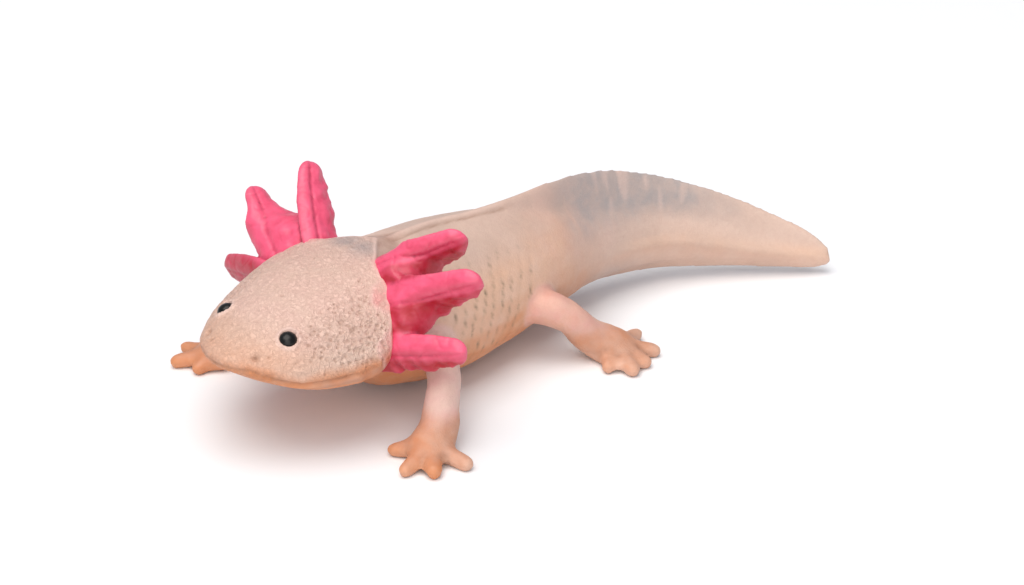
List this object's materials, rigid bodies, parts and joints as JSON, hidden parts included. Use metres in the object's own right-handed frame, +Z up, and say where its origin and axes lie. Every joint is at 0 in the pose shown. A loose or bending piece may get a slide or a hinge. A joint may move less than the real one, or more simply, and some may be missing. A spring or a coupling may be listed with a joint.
{
  "type": "toy axolotl figure",
  "caption": "Toy axolotl figure in a low standing pose, with a broad flat head, feathery side gills, splayed legs and a long finned tail that curves to its left.",
  "frame": {"origin": "centre of the bounding box in plan, on the plane of the soles", "axes": "-Y towards the snout, +Y towards the tail, +X to the animal's left, +Z up"},
  "size_m": [0.0586, 0.1098, 0.0322],
  "materials": {
    "body_skin": "solid PVC hand painted cream pink, with an ochre and orange wash low on the head and belly, pitted on the head",
    "fin": "the same PVC with a thin blue grey wash along the upper fin",
    "leg": "the same PVC, pink above and orange on the feet",
    "gill": "the same PVC painted carmine pink, darker in its folds, slightly satin",
    "eye": "gloss black paint on a small dome"
  },
  "bodies": {
    "root": {"head": "body_skin", "lower_jaw": "body_skin", "neck": "body_skin", "trunk": "body_skin", "tail": "body_skin", "dorsal_fin": "fin", "ventral_fin": "fin", "fore_leg_left": "leg", "fore_leg_right": "leg", "hind_leg_left": "leg", "hind_leg_right": "leg", "gill_left_upper": "gill", "gill_left_middle": "gill", "gill_left_lower": "gill", "gill_right_upper": "gill", "gill_right_middle": "gill", "gill_right_lower": "gill", "eye_left": "eye", "eye_right": "eye"}
  },
  "joints": []
}
